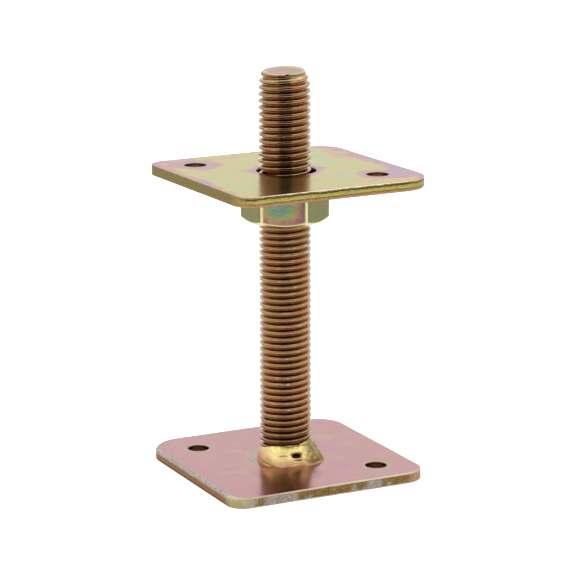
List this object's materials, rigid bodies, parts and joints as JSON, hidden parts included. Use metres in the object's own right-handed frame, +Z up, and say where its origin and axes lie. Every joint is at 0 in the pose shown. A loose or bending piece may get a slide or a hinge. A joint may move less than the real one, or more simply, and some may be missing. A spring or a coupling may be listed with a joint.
{
  "type": "adjustable post base",
  "caption": "Height-adjustable steel base for a timber post: a threaded rod welded upright on a square ground plate carries a nut and a loose square plate with fixing holes on one diagonal.",
  "frame": {"origin": "on the rod's axis, at the underside of the ground plate", "axes": "+Z up along the threaded rod; X and Y along the sides of the square ground plate, whose fixing holes lie on the diagonal from -X +Y to +X -Y"},
  "size_m": [0.0833, 0.0838, 0.1536],
  "materials": {
    "ground_plate_plating": "yellow-passivated zinc on steel plate, pink and beige interference tints",
    "rod_plating": "yellow-passivated zinc on rolled thread, golden crests over red-brown roots",
    "weld_plating": "yellow-passivated zinc on weld metal, bright and rippled",
    "post_plate_plating": "yellow-passivated zinc on steel plate, khaki with green and pink interference tints",
    "nut_plating": "yellow-passivated zinc on forged nut, olive with blue-green and pink tints"
  },
  "bodies": {
    "ground": {"base_plate": "ground_plate_plating", "threaded_rod": "rod_plating", "base_weld": "weld_plating"},
    "post_plate": {"top_plate": "post_plate_plating"},
    "nut": {"hex_nut": "nut_plating"}
  },
  "joints": [
    {"name": "plate_lift", "type": "slide", "parent": "ground", "child": "post_plate", "axis": [0, 0, 1], "range_m": [-0.0825, 0.0375]},
    {"name": "nut_turn", "type": "hinge", "parent": "post_plate", "child": "nut", "pos_m": [0, 0, 0.104], "axis": [0, 0, 1], "range_deg": [-11884, 5404]}
  ],
  "couplings": [
    {"joint": "nut_turn", "follows": "plate_lift", "rad_per_m": 2513.3}
  ]
}
